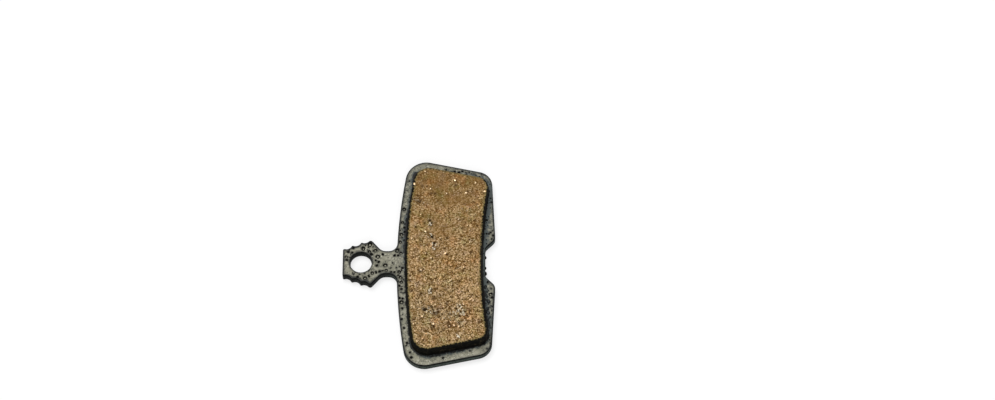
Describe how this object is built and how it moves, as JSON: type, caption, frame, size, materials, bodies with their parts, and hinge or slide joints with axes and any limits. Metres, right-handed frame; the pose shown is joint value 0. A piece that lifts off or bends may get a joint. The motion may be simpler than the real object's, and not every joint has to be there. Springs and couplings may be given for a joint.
{
  "type": "bicycle disc brake pad",
  "caption": "Bicycle disc brake pad: a punched steel backing plate with a scalloped pin tab, and a friction block keyed into holes in the plate.",
  "frame": {"origin": "axis of the retaining-pin hole at the back face of the plate", "axes": "+X from the pin hole towards the rotor's axis, +Y along the pad's length, +Z out of the friction face"},
  "size_m": [0.0289, 0.0422, 0.0042],
  "materials": {
    "plate_coat": "satin, pitted",
    "friction_compound": "rough, granular"
  },
  "bodies": {
    "root": {"backing_plate": "plate_coat", "friction_block": "friction_compound"}
  },
  "joints": []
}
